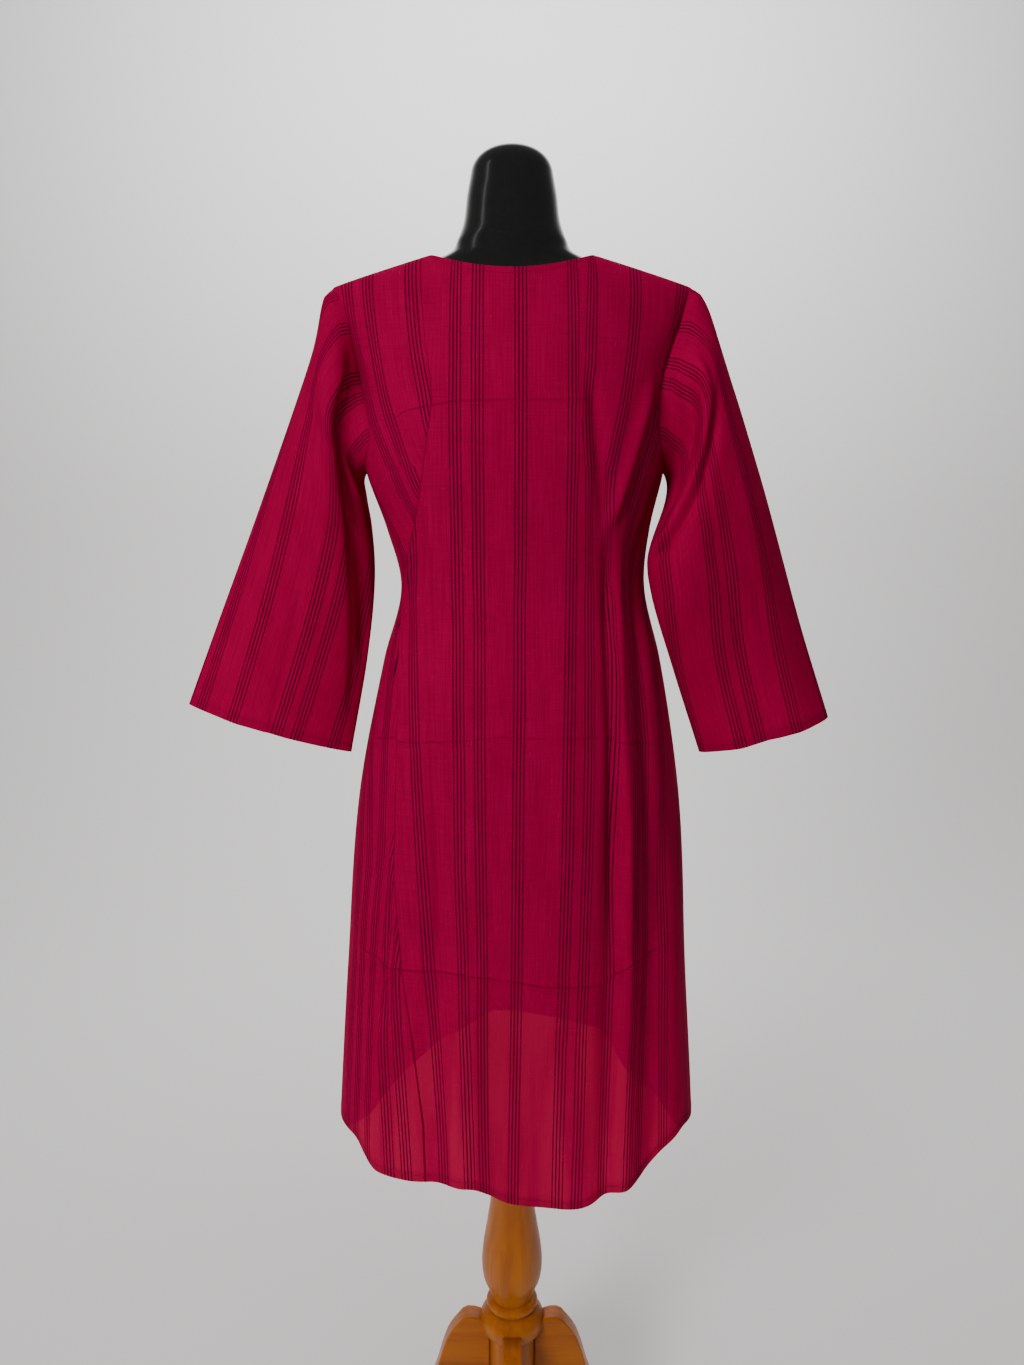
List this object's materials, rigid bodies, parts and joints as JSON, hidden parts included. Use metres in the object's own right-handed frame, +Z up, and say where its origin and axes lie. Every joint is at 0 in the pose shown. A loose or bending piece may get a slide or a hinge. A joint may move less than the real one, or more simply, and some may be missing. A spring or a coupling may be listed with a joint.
{
  "type": "kurta tunic on an armless dress form with a stand",
  "caption": "Striped crimson cotton kurta tunic with long wide sleeves and a curved hem, worn by a glossy black armless dress form on a turned wooden stand.",
  "frame": {"origin": "on the floor under the middle of the post", "axes": "+Z up, the tunic's back faces -Y and its front faces +Y, +X to the right as seen from the back"},
  "size_m": [0.7435, 0.48, 1.633],
  "materials": {
    "cloth": "matte handloom cotton with thin dark stripes",
    "form": "polished black",
    "wood": "amber varnish"
  },
  "bodies": {
    "root": {"kurta_back": "cloth", "kurta_front": "cloth", "sleeve_left": "cloth", "sleeve_right": "cloth", "form_torso": "form", "post": "wood", "ring": "wood", "hub": "wood", "leg_1": "wood", "leg_2": "wood", "leg_3": "wood", "leg_4": "wood"}
  },
  "joints": []
}
